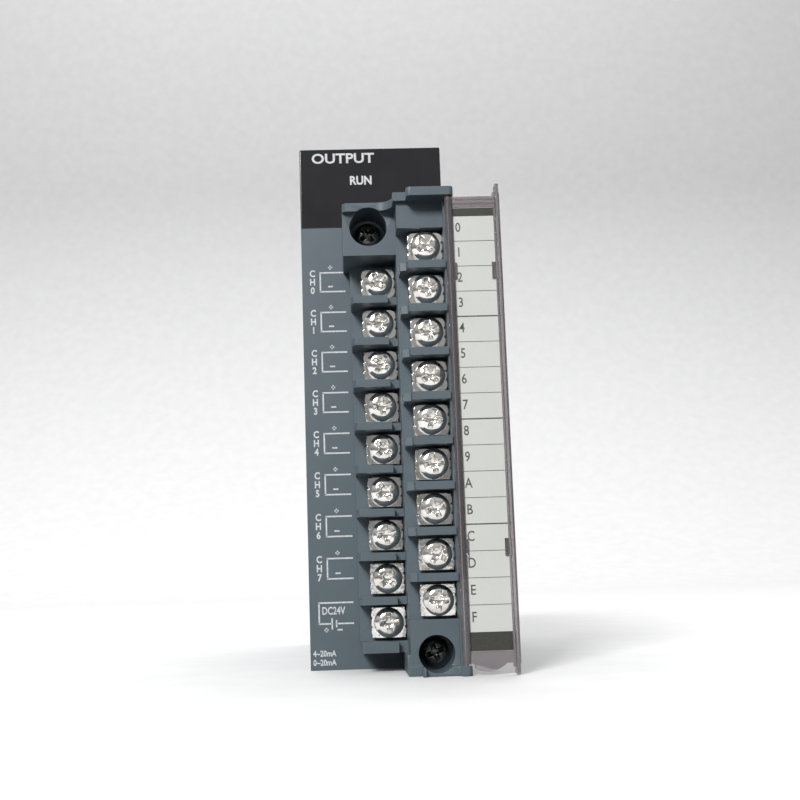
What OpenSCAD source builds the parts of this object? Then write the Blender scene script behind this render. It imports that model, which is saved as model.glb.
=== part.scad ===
// Slim plug-in module for a programmable controller rack.
// A detachable two-tier screw terminal block stands on the front face, with a clear
// hinged cover that carries a numbered paper strip.
// Frame: origin at the centre of the rear mounting face, X to the right, Z up,
// Y into the rack. The front face looks along -Y.

/* [Case] */
// Width of the module
body_w = 27; // [27:0.5:30]
// Height of the module
body_h = 98; // [98:1:110]
// Depth from the rear mounting face to the printed front face
body_d = 90; // [86:1:100]
// Wall thickness of the case and bezel
wall = 1.8; // [1.4:0.1:2.2]
// Depth of the front bezel
bezel_d = 16; // [15.5:0.5:17]
// Height of the black window at the top of the front face
window_h = 15.7; // [15:0.1:16]
// Depth of the window's wrap round the top edge and sides
window_d = 7; // [5:0.5:8]
// Width of one ventilation slot
vent_slot = 1.6; // [1:0.1:2]
// Spacing of the ventilation slots
vent_pitch = 3.6; // [3:0.1:5]

/* [Terminals] */
// Terminals in each tier
rows = 9; // [3:1:9]
// Terminal pitch of one tier
pitch = 7.62; // [7.4:0.01:7.62]
// Height of the first terminal of the lower (left) tier
left_z = 20.4; // [20.2:0.1:20.6]
// X of the lower tier's screws
left_x = 0.55; // [0.4:0.05:0.7]
// X of the upper tier's screws
right_x = 8.6; // [8.5:0.05:8.7]
// Lower tier's floor, in front of the printed face
left_floor = 4.1; // [3.8:0.1:4.4]
// Upper tier's floor, in front of the printed face
right_floor = 13.2; // [13:0.1:13.4]
// Height of the barriers above their floor, lower tier
left_barrier = 6.5; // [6:0.1:7]
// Height of the barriers above their floor, upper tier
right_barrier = 6; // [5.6:0.1:6.2]
// Thickness of a barrier
barrier_t = 1.35; // [1:0.05:1.6]
// Width of a clamp washer along X
washer_x = 6.1; // [5.6:0.1:6.2]
// Height of a clamp washer along Z
washer_z = 5.3; // [5:0.1:5.6]
// Thread diameter of the terminal and mounting screws
thread_d = 3; // [2.5:0.5:3]
// Diameter of a terminal screw's head
head_d = 5.2; // [4.6:0.1:5.2]

/* [Cover] */
// X of the cover's hinge line
hinge_x = 12.6; // [12.55:0.05:12.65]
// Height of the hinge line in front of the printed face
hinge_h = 20; // [19.9:0.1:20.2]
// Width of the cover from hinge line to free edge
cover_w = 8.5; // [8.4:0.05:8.6]
// Thickness of the cover's panel
cover_t = 1; // [0.8:0.1:1]
// Diameter of the cover's moulded hinge pins
hinge_pin_d = 1; // [0.8:0.1:1]
// Thickness of the paper strip
paper_t = 0.25; // [0.15:0.05:0.3]

/* [Mounting] */
// Diameter of the hole for the rack's fixing screw
fixing_hole_d = 3.4; // [3.2:0.1:3.6]
// Length of the locating hooks behind the rear face
hook_len = 4.2; // [3.6:0.1:5]
// Diameter of the release lever's pivot pin
lever_pin_d = 2; // [1.6:0.1:2.2]
// Play between a turning shaft and its hole, each side
running_gap = 0.05; // [0.02:0.01:0.08]

/* [Hidden] */
$fn = 48;
eps = 0.01;

housing_grey = [0.42, 0.46, 0.49];
base_grey = [0.3, 0.33, 0.35];
window_black = [0.2, 0.2, 0.21];
plastic_black = [0.13, 0.13, 0.14];
chip_black = [0.1, 0.1, 0.11];
screw_black = [0.08, 0.08, 0.09];
board_green = [0.1, 0.36, 0.2];
brass = [0.8, 0.68, 0.4];
contact_gold = [0.85, 0.7, 0.35];
steel = [0.78, 0.78, 0.8];
nickel = [0.87, 0.87, 0.86];
clamp_nickel = [0.78, 0.76, 0.7];
paper_white = [0.88, 0.88, 0.86];

half_w = body_w / 2;
half_h = body_h / 2;
bezel_back = bezel_d - body_d;
window_low = half_h - window_h;
window_inset = 1.2;
window_front = 1.6;
lamp_x = -2;
lamp_z = 39;
pipe_d = 2.4;
lamp_d = 3;
lamp_front = 12;
pipe_len = 9.2;

// side label, snaps, rear openings
label_y = [-60, -22];
label_z = [-34, 22];
snap_len = 8;
snap_z = [-30, 24];
connector_x = [-10.4, -1.5];
connector_z = [-19.8, 31.8];
connector_out = 0.6;
pocket_x = [3.5, 11.1];
pocket_y = [-24, -3];

// heights in front of the printed face
left_plate_top = left_floor + 1.9;
right_plate_top = right_floor + 1.9;
washer_t = 0.8;
head_t = 2.2;
plate_t = 1.2;
left_barrier_h = left_floor + left_barrier;
right_barrier_h = right_floor + right_barrier;
well_flat_h = 12;
tier_flat_h = 17.4;
step_h = 13.2;
landing_h = 18.3;
flange_h = 21;
block_back = 0.3;
base_front = 1.5;
stand_x = 2.4;
stand_z = 2.2;
screw_bore = thread_d + 0.5;

// outline of the terminal block
block_left = -5.7;
tier_left = -4.5;
tier_split = 3.7;
low_left = 3.1;
wall_in = right_x + washer_x / 2 + 0.05;
wall_out = wall_in + 0.5;
block_right = 13.4;
block_top = 33.5;
block_low = -48.9;
end_t = 1.5;
right_z = left_z + pitch / 2;
left_top = left_z + pitch / 2;
left_low = left_z - (rows - 0.5) * pitch;
right_low = right_z - (rows - 0.5) * pitch;
left_tier_end = left_low - 1.2;

// captive mounting screws: X, Z, well radius, top of head, bottom of head
upper_screw = [-1.12, 29.3, 3.35, 8, 5.6];
lower_screw = [7.95, -45.45, 3.05, 13.4, 11];
mount_head_d = 4.9;
insert_d = 5;
insert_len = 6;
ring_d = 5.4;

// plug and socket
plug_gap = 0.4;
plug_len = 9.5;
socket_wall = 1.2;
socket_len = 15;
socket_floor = socket_len - body_d;
leg_offset = 2.2;
pin_tip = 6 - body_d;

// cover
cover_edge = hinge_x + cover_w;
knuckle_d = 1.4;
cover_top = block_top - end_t - 0.3;
cover_low = block_low + end_t + 0.3;
rim_t = 0.6;
flange_left = 5.3;
flange_r = 0.8;
rim_h = 2;
rim_end_h = 1.3;
tab_x = hinge_x + 0.4 * cover_w;
tab_r = 4.4;
tab_clip = 1.3;
bed_inset = 0.35;
holder_z = [18.7, -28.3];
holder_half = 1.4;
holder_w = 0.9;
holder_top = 0.32;

// lever
lever_y = -25.5;
lever_z = 44;
lever_lo_x = -8.6;
lever_hi_x = 0.6;
lever_floor = 40;
pin_overhang = 2.4;
spring_y = -10;
lever_under = half_h - 2.6;

// boards
board_t = 1.6;
main_x = -6.6;
analog_x = 5;
board_front = -71;
board_rear = -11;
board_low = -45.6;
board_high = 37;
spacer_d = 4.8;
board_hole_d = 2.6;
spacer_yz = [[-66, -40], [-66, 32], [-16, -40], [-16, 32]];
inner_gap_lo = main_x + board_t;

// outline of the plug in [X, Z], grown by g; its two steps clear the mounting screws' bosses
function plug_outline(g) = [
    [-2.8 - g, -42.4 - g], [2.6 + g, -42.4 - g], [2.6 + g, -40 - g], [8.8 + g, -40 - g],
    [8.8 + g, 27.4 + g], [4.4 - g, 27.4 + g], [4.4 - g, 23.4 + g], [-2.8 - g, 23.4 + g]];

function left_row(i) = left_z - i * pitch;
function right_row(i) = right_z - i * pitch;
function front(h) = -body_d - h;

module block(lo, hi) {
    translate(lo) cube(hi - lo);
}

// a solid that stands on the printed face between two heights
module rise(x0, x1, h0, h1, z0, z1) {
    translate([x0, front(h1), z0]) cube([x1 - x0, h1 - h0, z1 - z0]);
}

// a profile of [X, height] points, z0 to z1 along Z
module along_z(points, z0, z1) {
    translate([0, -body_d, z1]) rotate([180, 0, 0]) linear_extrude(z1 - z0) polygon(points);
}

// an outline of [X, Z] points between two heights in front of the printed face
module slab(points, h0, h1) {
    translate([0, front(h0), 0]) rotate([90, 0, 0]) linear_extrude(h1 - h0) polygon(points);
}

// a round bar between two heights in front of the printed face
module post(x, z, d, h0, h1) {
    translate([x, front(h0), z]) rotate([90, 0, 0]) cylinder(d = d, h = h1 - h0);
}

// a round bar along X
module bar_x(x0, x1, y, z, d) {
    translate([x0, y, z]) rotate([0, 90, 0]) cylinder(d = d, h = x1 - x0);
}

// ---- case ----

module vent_row(z0, y0, y1) {
    slot_len = 9.6;
    for (y = [y0 : vent_pitch : y1], x = [-1 - slot_len, 1]) {
        block([x, y, z0], [x + slot_len, y + vent_slot, z0 + wall + 2 * eps]);
    }
}

module rear_case() {
    latch_block_y = -33;
    latch_block_z = 38.5;
    color(housing_grey) difference() {
        union() {
            difference() {
                block([-half_w, bezel_back, -half_h], [half_w, 0, half_h]);
                block([-half_w + wall, bezel_back - eps, -half_h + wall],
                    [half_w - wall, -wall, half_h - wall]);
            }
            block([-half_w + wall, latch_block_y, latch_block_z],
                [half_w - wall, -wall, half_h - wall]);
            for (x = [main_x - 1, main_x + board_t, analog_x - 1, analog_x + board_t]) {
                block([x, board_front + 2, -half_h + wall], [x + 1, -wall, board_low + 2]);
            }
            locating_hooks();
        }
        // channel of the release lever, open at the top and the rear
        block([lever_lo_x - 0.4, -30, lever_floor], [lever_hi_x + 0.4, eps, half_h + eps]);
        bar_x(lever_lo_x - pin_overhang, lever_hi_x + pin_overhang, lever_y, lever_z, lever_pin_d);
        // pocket and hole of the rack's fixing screw
        block([pocket_x[0], pocket_y[0], lever_floor], [pocket_x[1], pocket_y[1], half_h + eps]);
        translate([(pocket_x[0] + pocket_x[1]) / 2, pocket_y[1] - eps, 44.5]) rotate([-90, 0, 0])
            cylinder(d = fixing_hole_d, h = -pocket_y[1] + 2 * eps);
        // opening of the backplane connector
        block([connector_x[0] - 0.5, -wall - eps, connector_z[0] - 0.6],
            [connector_x[1] + 0.5, eps, connector_z[1] + 0.6]);
        vent_row(half_h - wall - eps, -70, -38);
        vent_row(-half_h - eps, -70, -10);
        for (s = [-1, 1], z = snap_z) {
            block([s * (half_w - 0.9) - 1, -73, z], [s * (half_w - 0.9) + 1, -69.6, z + snap_len]);
        }
        block([half_w - 0.3, label_y[0], label_z[0]], [half_w + eps, label_y[1], label_z[1]]);
    }
}

module locating_hooks() {
    hook_w = 4;
    lip = 1.5;
    for (x = [-10, 6]) {
        translate([x, 0, 0]) rotate([90, 0, 90]) linear_extrude(hook_w) polygon([
            [-0.5, -45.5], [-0.5, -41.5], [hook_len - 0.8, -41.5], [hook_len, -42.3],
            [hook_len, -45.5 - lip], [hook_len - 1.4, -45.5 - lip], [hook_len - 1.4, -45.5]]);
    }
}

module front_bezel() {
    skirt_t = 1.2;
    skirt_len = 4.6;
    color(housing_grey) difference() {
        union() {
            difference() {
                block([-half_w, -body_d, -half_h], [half_w, bezel_back, half_h]);
                block([-half_w + wall, -body_d + 2, -half_h + wall],
                    [half_w - wall, bezel_back + eps, half_h - wall]);
                bezel_window_step();
            }
            // skirt and snaps that enter the rear case
            difference() {
                block([-half_w + wall + 0.05, bezel_back - 3, -half_h + wall + 0.05],
                    [half_w - wall - 0.05, bezel_back + skirt_len, half_h - wall - 0.05]);
                block([-half_w + wall + skirt_t, bezel_back - 3 - eps, -half_h + wall + skirt_t],
                    [half_w - wall - skirt_t, bezel_back + skirt_len + eps,
                    half_h - wall - skirt_t]);
            }
            for (s = [-1, 1], z = snap_z) {
                block([s * (half_w - 1.4) - 0.9, -72.4, z + 0.3],
                    [s * (half_w - 1.4) + 0.9, -70, z + snap_len - 0.3]);
            }
            insert_boss(upper_screw);
            insert_boss(lower_screw);
            light_pipe_collar();
        }
        slab(plug_outline(plug_gap), -2 - eps, eps);
        for (s = [upper_screw, lower_screw]) {
            post(s.x, s.y, insert_d, -insert_len, eps);
        }
        post(lamp_x, lamp_z, pipe_d + 0.2, -pipe_len - 0.4, 0);
    }
}

// the bezel stands back where the window wraps round it
module bezel_window_step() {
    difference() {
        block([-half_w - eps, -body_d - eps, window_low],
            [half_w + eps, -body_d + window_d, half_h + eps]);
        block([-half_w + window_inset, -body_d + window_front, window_low - eps],
            [half_w - window_inset, -body_d + window_d + eps, half_h - window_inset]);
    }
}

module insert_boss(s) {
    intersection() {
        post(s.x, s.y, insert_d + 2, -8, -1);
        block([-half_w + 1, -body_d, -half_h + 1], [half_w - 1, 0, half_h - 1]);
    }
}

module light_pipe_collar() {
    post(lamp_x, lamp_z, pipe_d + 2.2, -6, -window_front);
}

module head_window() {
    color(window_black) intersection() {
        block([-half_w, -body_d, window_low], [half_w, -body_d + window_d, half_h]);
        difference() {
            block([-half_w, -body_d, window_low], [half_w, 0, half_h]);
            block([-half_w + window_inset, -body_d + window_front, window_low - eps],
                [half_w - window_inset, 0, half_h - window_inset]);
        }
    }
}

module led_light_pipe() {
    color([0.85, 0.88, 0.85]) union() {
        post(lamp_x, lamp_z, pipe_d, -pipe_len, -window_front);
        post(lamp_x, lamp_z, pipe_d + 1, -pipe_len, -7.6);
    }
}

module run_led() {
    led_back = socket_len;
    color([0.75, 0.8, 0.7]) union() {
        post(lamp_x, lamp_z, lamp_d, -led_back, -lamp_front);
        translate([lamp_x, front(-lamp_front), lamp_z]) sphere(d = lamp_d);
    }
}

module rating_label() {
    color(paper_white)
        block([half_w - 0.28, label_y[0] + 0.4, label_z[0] + 0.4],
            [half_w - 0.08, label_y[1] - 0.4, label_z[1] - 0.4]);
}

// ---- release lever ----

module release_lever() {
    arm_top = half_h - 0.4;
    groove_pitch = 1.6;
    color(housing_grey) difference() {
        translate([lever_lo_x, 0, 0]) rotate([90, 0, 90])
            linear_extrude(lever_hi_x - lever_lo_x) polygon([
                [lever_y - 2.6, lever_z - 2.2], [lever_y - 2.6, arm_top - 1], [lever_y - 1.6, arm_top],
                [-0.6, arm_top], [-0.6, lever_under], [2.3, lever_under], [2.3, arm_top - 0.5],
                [2.8, arm_top - 0.2], [3.8, lever_under - 0.6], [3.8, lever_under - 2.2],
                [-1, lever_under - 2.2], [-2, lever_under], [lever_y + 5, lever_under],
                [lever_y + 2.6, lever_z - 2.2]]);
        bar_x(lever_lo_x - eps, lever_hi_x + eps, lever_y, lever_z,
            lever_pin_d + 2 * running_gap);
        // finger grooves across the pad
        for (i = [0 : 4]) {
            y = -8 - i * groove_pitch;
            block([lever_lo_x + 1.2, y, arm_top - 0.5],
                [lever_hi_x - 1.2, y + groove_pitch / 2, half_h]);
        }
    }
}

module lever_pin() {
    color(steel)
        bar_x(lever_lo_x - pin_overhang, lever_hi_x + pin_overhang, lever_y, lever_z, lever_pin_d);
}

// one point on the spring's wire: centre line swept by a small circle
function coil_point(turn, side, coil_r, wire_r, rise, base) =
    let (a = 360 * turn, b = 360 * side)
    [(coil_r + wire_r * cos(b)) * cos(a), (coil_r + wire_r * cos(b)) * sin(a),
        base + rise * turn + wire_r * sin(b)];

module lever_spring() {
    turns = 5;
    steps = 16;
    sides = 8;
    coil_r = 1.9;
    wire_r = 0.25;
    spring_gap = 0.02;
    base = lever_floor + wire_r + spring_gap;
    climb = (lever_under - lever_floor - 2 * (wire_r + spring_gap)) / turns;
    rings = turns * steps;
    points = [for (i = [0 : rings], s = [0 : sides - 1])
        coil_point(i / steps, s / sides, coil_r, wire_r, climb, base)];
    walls = [for (i = [0 : rings - 1], s = [0 : sides - 1])
        [i * sides + s, i * sides + (s + 1) % sides,
            (i + 1) * sides + (s + 1) % sides, (i + 1) * sides + s]];
    start = [for (s = [sides - 1 : -1 : 0]) s];
    finish = [for (s = [0 : sides - 1]) rings * sides + s];
    color(steel) translate([(lever_lo_x + lever_hi_x) / 2, spring_y, 0])
        polyhedron(points, concat([start], walls, [finish]), convexity = 6);
}

// ---- electronics ----

module backplane_connector() {
    groove_w = 2.3;
    groove_y = -6;
    end_wall = 1.6;
    color(plastic_black) difference() {
        block([connector_x[0], board_rear, connector_z[0]],
            [connector_x[1], connector_out, connector_z[1]]);
        for (x = [connector_x[0] + 1.2, connector_x[1] - 1.2 - groove_w]) {
            block([x, groove_y, connector_z[0] + end_wall],
                [x + groove_w, connector_out + eps, connector_z[1] - end_wall]);
        }
    }
}

module backplane_contacts() {
    contact_pitch = 2.54;
    color(contact_gold) for (i = [0 : 18], x = [-8.45, -4.25]) {
        z = -17 + i * contact_pitch;
        block([x, -6, z], [x + 0.8, -0.8, z + 0.7]);
    }
}

module board(x, y0, y1) {
    difference() {
        block([x, y0, board_low], [x + board_t, y1, board_high]);
        for (p = spacer_yz) {
            bar_x(x - eps, x + board_t + eps, p[0], p[1], board_hole_d);
        }
    }
}

module main_board() {
    color(board_green) board(main_x, board_front, board_rear);
}

module analog_board() {
    color(board_green) board(analog_x, board_front, board_rear);
}

module interface_board() {
    color(board_green) difference() {
        block([-10.2, socket_floor, -44], [10.3, socket_floor + board_t, 44]);
        pin_holes(socket_floor - eps, socket_floor + board_t + eps, 0.5);
    }
}

// the two columns of contacts, as slots between two depths
module pin_holes(y0, y1, grow) {
    for (i = [0 : rows - 1]) {
        pin_bar(left_x, left_row(i), y0, y1, grow);
        pin_bar(right_x, right_row(i), y0, y1, grow);
    }
}

module pin_bar(x, z, y0, y1, grow) {
    block([x - leg_offset - 0.5 - grow / 2, y0, z + 0.2 - grow / 2],
        [x - leg_offset + 0.5 + grow / 2, y1, z + 0.8 + grow / 2]);
}

module board_header() {
    color(plastic_black) block([inner_gap_lo, -58, 14], [analog_x, -32, 19]);
}

module board_spacers() {
    color(brass) for (p = spacer_yz) {
        difference() {
            bar_x(inner_gap_lo, analog_x, p[0], p[1], spacer_d);
            bar_x(inner_gap_lo - eps, analog_x + eps, p[0], p[1], board_hole_d - 0.1);
        }
    }
}

module board_screws() {
    cap_t = 1.5;
    cap_d = 4.4;
    shank_d = 2.4;
    reach = 4;
    color(steel) for (p = spacer_yz) {
        bar_x(main_x - cap_t, main_x, p[0], p[1], cap_d);
        bar_x(main_x - eps, inner_gap_lo + reach, p[0], p[1], shank_d);
        bar_x(analog_x + board_t, analog_x + board_t + cap_t, p[0], p[1], cap_d);
        bar_x(analog_x - reach, analog_x + board_t + eps, p[0], p[1], shank_d);
    }
}

module dc_dc_converter() {
    color(chip_black) block([analog_x - 7.5, -58, -32], [analog_x, -34, -8]);
}

module capacitors() {
    can_d = 6.3;
    can_len = 7.7;
    can_pitch = 9;
    color([0.2, 0.22, 0.3]) for (i = [0 : 3]) {
        bar_x(inner_gap_lo, inner_gap_lo + can_len, -64 + i * can_pitch, 1, can_d);
    }
}

module controller_chip() {
    color(chip_black) block([main_x - 1.5, -52, -10], [main_x, -38, 4]);
}

module output_chips() {
    chip_pitch = 9.2;
    chip_t = 1.6;
    chip_w = 6;
    chip_len = 5;
    color(chip_black) for (i = [0 : 7]) {
        z = 26 - i * chip_pitch;
        block([analog_x + board_t, -62, z], [analog_x + board_t + chip_t, -62 + chip_w, z + chip_len]);
    }
}

module optocouplers() {
    coupler_pitch = 9;
    coupler_t = 3.4;
    coupler_w = 6.5;
    coupler_len = 4.6;
    color([0.85, 0.84, 0.8]) for (i = [0 : 4]) {
        z = 14 - i * coupler_pitch;
        block([main_x - coupler_t, -28, z], [main_x, -28 + coupler_w, z + coupler_len]);
    }
}

module terminal_socket() {
    color(plastic_black) difference() {
        slab(plug_outline(plug_gap + socket_wall), -socket_len, -2);
        slab(plug_outline(plug_gap), 2 - socket_len, -2 + eps);
        pin_holes(socket_floor - 2 - eps, socket_floor + eps, 0.04);
    }
}

module socket_pins() {
    color(contact_gold) pin_holes(pin_tip, socket_floor + board_t + 1, 0);
}

module threaded_inserts() {
    color(brass) for (s = [upper_screw, lower_screw]) {
        difference() {
            post(s.x, s.y, insert_d, -insert_len, -0.2);
            post(s.x, s.y, thread_d + 2 * running_gap, -insert_len - eps, 0);
        }
    }
}

// ---- terminal block ----

function left_end(h0, h1) = [
    [tier_left, h0], [tier_left, h1 - 1.4], [tier_left + 0.5, h1], [left_x + 1.5, h1],
    [left_x + 1.5, h1 - 1.8], [tier_split + 0.1, h1 - 1.8], [tier_split + 0.1, h0]];

function right_end(h0, h1) = [
    [tier_split + 0.3, h0], [tier_split + 0.3, h1 - 2.1], [flange_left - 0.2, h1 - 1.8],
    [flange_left, h1], [wall_in + 0.1, h1], [wall_in + 0.1, h0]];

// front edge of the end plates, with the step on which the closed cover's rim lands
function flange_profile(x0) = concat([
    [x0, base_front], [x0, landing_h], [flange_left, landing_h]],
    [for (a = [180 : -15 : 90])
        [flange_left + flange_r * (1 + cos(a)), flange_h + flange_r * (sin(a) - 1)]],
    [for (a = [90 : -15 : 0])
        [block_right + flange_r * (cos(a) - 1), flange_h + flange_r * (sin(a) - 1)]],
    [[block_right, base_front]]);

module end_plates() {
    top_z = block_top - end_t;
    along_z(flange_profile(low_left), top_z, block_top);
    along_z(flange_profile(low_left), block_low, block_low + end_t);
    // lower shoulder over the upper mounting screw, blended into the tall plate
    along_z(concat([[block_left, base_front], [block_left, step_h - 0.6],
        [block_left + 0.6, step_h], [0.6, step_h]],
        [for (a = [-90 : 15 : -15]) [0.6 + 2.5 * cos(a), step_h + 2.5 + 2.5 * sin(a)]],
        [[low_left + 0.5, step_h + 2.5], [low_left + 0.5, base_front]]), top_z, block_top);
}

module lower_tier() {
    rise(tier_left, tier_split + 0.1, base_front, left_floor, left_tier_end, left_top);
    rise(block_left, tier_split + 0.1, base_front, well_flat_h, left_top, block_top - end_t + eps);
    for (i = [1 : rows - 1]) {
        z = left_top - i * pitch;
        along_z(left_end(left_floor - eps, left_barrier_h), z - barrier_t / 2, z + barrier_t / 2);
    }
    along_z(left_end(left_floor - eps, left_barrier_h), left_tier_end, left_low + barrier_t / 2);
    for (i = [0 : rows - 1]) {
        rise(left_x - stand_x, left_x + stand_x, left_floor - eps, left_plate_top - plate_t,
            left_row(i) - stand_z, left_row(i) + stand_z);
    }
}

module upper_tier() {
    top = right_z + pitch / 2 - barrier_t / 2;
    rise(tier_split, wall_in + 0.1, base_front, right_floor, block_low + end_t - eps,
        block_top - end_t + eps);
    rise(wall_in, block_right - 0.1, base_front, tier_flat_h - 0.6, block_low + end_t - eps,
        block_top - end_t + eps);
    rise(tier_split, wall_in + 0.1, right_floor - eps, tier_flat_h, top,
        block_top - end_t + eps);
    rise(tier_split, wall_in + 0.1, base_front, tier_flat_h, block_low + end_t - eps,
        right_low + barrier_t / 2);
    rise(low_left, tier_split + eps, base_front, tier_flat_h, block_low + end_t - eps,
        left_tier_end);
    rise(wall_in, wall_out, base_front, tier_flat_h + 1.2, block_low + end_t - eps,
        block_top - end_t + eps);
    for (i = [1 : rows - 1]) {
        z = right_z + pitch / 2 - i * pitch;
        along_z(right_end(right_floor - eps, right_barrier_h), z - barrier_t / 2,
            z + barrier_t / 2);
    }
    for (i = [0 : rows - 1]) {
        rise(right_x - stand_x, right_x + stand_x, right_floor - eps, right_plate_top - plate_t,
            right_row(i) - stand_z, right_row(i) + stand_z);
    }
}

module terminal_block_housing() {
    color(housing_grey) difference() {
        union() {
            lower_tier();
            upper_tier();
            end_plates();
        }
        for (s = [upper_screw, lower_screw]) {
            post(s.x, s.y, 2 * s[2], s[4], flange_h + 1);
            post(s.x, s.y, screw_bore, -1, s[4] + eps);
            post(s.x, s.y, ring_d + 0.4, -1, base_front + 1);
        }
        for (i = [0 : rows - 1]) {
            post(left_x, left_row(i), thread_d + 0.8, base_front + 0.6, left_plate_top);
            post(right_x, right_row(i), thread_d + 0.8, right_floor - 4, right_plate_top);
            leg_slot(left_x, left_row(i), left_plate_top - plate_t);
            leg_slot(right_x, right_row(i), right_plate_top - plate_t);
        }
        for (z = [block_top - end_t - eps, block_low - eps]) {
            translate([hinge_x, front(hinge_h), z])
                cylinder(d = hinge_pin_d + 2 * running_gap, h = end_t + 2 * eps);
        }
        tab_notch();
    }
}

// shallow notch in the lower end plate that takes the closed cover's thumb tab
module tab_notch() {
    near = 2 * hinge_x - tab_x - 0.64 * tab_r - 0.3;
    far = hinge_x - tab_clip + 0.3;
    floor_h = hinge_h - 0.3;
    along_z([[near, floor_h], [far, floor_h], [far, flange_h + 1], [near - 0.5, flange_h + 1]],
        block_low - eps, block_low + end_t + eps);
}

module leg_slot(x, z, top) {
    rise(x - leg_offset - 0.8, x - leg_offset + 0.8, -1, top, z - 0.5, z + 0.5);
}

// plug side of the block: back plate and the plug that enters the module's socket
module block_base() {
    color(base_grey) difference() {
        union() {
            rise(tier_left, block_right - 0.1, block_back, base_front, left_tier_end, left_top);
            rise(block_left, block_right - 0.1, block_back, base_front, left_top - eps, block_top);
            rise(low_left, block_right - 0.1, block_back, base_front, block_low,
                left_tier_end + eps);
            slab(plug_outline(0), -plug_len, block_back + eps);
        }
        for (i = [0 : rows - 1]) {
            contact_hole(left_x, left_row(i));
            contact_hole(right_x, right_row(i));
        }
        for (s = [upper_screw, lower_screw]) {
            post(s.x, s.y, screw_bore, -1, base_front + 1);
        }
    }
}

module contact_hole(x, z) {
    rise(x - leg_offset - 0.85, x - leg_offset + 0.85, -plug_len - 1, base_front + 1,
        z - 0.55, z + 1.15);
}

// clamp plates with a leg that runs back into the plug
module terminal_plate(x, z, top) {
    plate_x = 2.9;
    plate_z = 2.6;
    leg_tip = -6.5;
    difference() {
        union() {
            rise(x - plate_x, x + plate_x, top - plate_t, top, z - plate_z, z + plate_z);
            rise(x - leg_offset - 0.6, x - leg_offset + 0.6, leg_tip, top - plate_t + eps,
                z - 0.4, z + 0.1);
        }
        post(x, z, thread_d + 2 * running_gap, top - plate_t - eps, top + eps);
    }
}

module terminal_plates_left() {
    color(clamp_nickel) for (i = [0 : rows - 1]) {
        terminal_plate(left_x, left_row(i), left_plate_top);
    }
}

module terminal_plates_right() {
    color(clamp_nickel) for (i = [0 : rows - 1]) {
        terminal_plate(right_x, right_row(i), right_plate_top);
    }
}

// square washer that stays on its screw, with rounded corners and two notches in each side
module clamp_washer(x, z, low) {
    corner_r = 1.1;
    notch = 0.45;
    notch_z = 0.8;
    translate([x, front(low), z]) rotate([90, 0, 0]) difference() {
        linear_extrude(washer_t) difference() {
            union() {
                square([washer_x, washer_z - 2 * corner_r], center = true);
                square([washer_x - 2 * corner_r, washer_z], center = true);
                for (a = [-1, 1], b = [-1, 1]) {
                    translate([a * (washer_x / 2 - corner_r), b * (washer_z / 2 - corner_r)])
                        circle(corner_r);
                }
            }
            for (a = [-1, 1], b = [-1, 1]) {
                translate([a * washer_x / 2, b * notch_z]) square(notch, center = true);
            }
        }
        translate([0, 0, -eps]) cylinder(d = thread_d + 0.4, h = washer_t + 2 * eps);
    }
}

module clamp_washers_left() {
    color(nickel) for (i = [0 : rows - 1]) {
        clamp_washer(left_x, left_row(i), left_plate_top);
    }
}

module clamp_washers_right() {
    color(nickel) for (i = [0 : rows - 1]) {
        clamp_washer(right_x, right_row(i), right_plate_top);
    }
}

// pan head with a cross recess, on a threaded shank; low is the underside of the head
module cross_screw(x, z, d, t, low, shank_d, tip) {
    crown = 0.75;
    edge_r = 1.2;
    skirt = t - crown - 0.3;
    slot_w = 0.85;
    slot_len = 0.58 * d;
    slot_deep = 1.3;
    translate([x, front(low), z]) rotate([90, 0, 0]) {
        difference() {
            rotate_extrude() polygon(concat([[0, 0], [d / 2, 0], [d / 2, skirt]],
                [for (a = [15 : 15 : 90])
                    [d / 2 - edge_r + edge_r * cos(a), skirt + crown * sin(a)]],
                [[0, t]]));
            translate([-slot_len / 2, -slot_w / 2, t - slot_deep])
                cube([slot_len, slot_w, slot_deep + 1]);
            translate([-slot_w / 2, -slot_len / 2, t - slot_deep])
                cube([slot_w, slot_len, slot_deep + 1]);
        }
        translate([0, 0, tip - low]) cylinder(d = shank_d, h = low - tip + eps);
    }
}

module terminal_screws_left() {
    color(nickel) for (i = [0 : rows - 1]) {
        cross_screw(left_x, left_row(i), head_d, head_t, left_plate_top + washer_t, thread_d,
            base_front + 0.8);
    }
}

module terminal_screws_right() {
    color(nickel) for (i = [0 : rows - 1]) {
        cross_screw(right_x, right_row(i), head_d, head_t, right_plate_top + washer_t, thread_d,
            right_floor - 3.6);
    }
}

module mounting_screw(s) {
    cross_screw(s.x, s.y, mount_head_d, s[3] - s[4], s[4] + 0.1, thread_d, -5.6);
}

module upper_mounting_screw() {
    color(screw_black) mounting_screw(upper_screw);
}

module lower_mounting_screw() {
    color(screw_black) mounting_screw(lower_screw);
}

module screw_retaining_rings() {
    color(steel) for (s = [upper_screw, lower_screw]) {
        difference() {
            post(s.x, s.y, ring_d, base_front + 0.05, base_front + 0.65);
            post(s.x, s.y, thread_d + 2 * running_gap, base_front, base_front + 1);
        }
    }
}

// ---- cover ----

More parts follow.
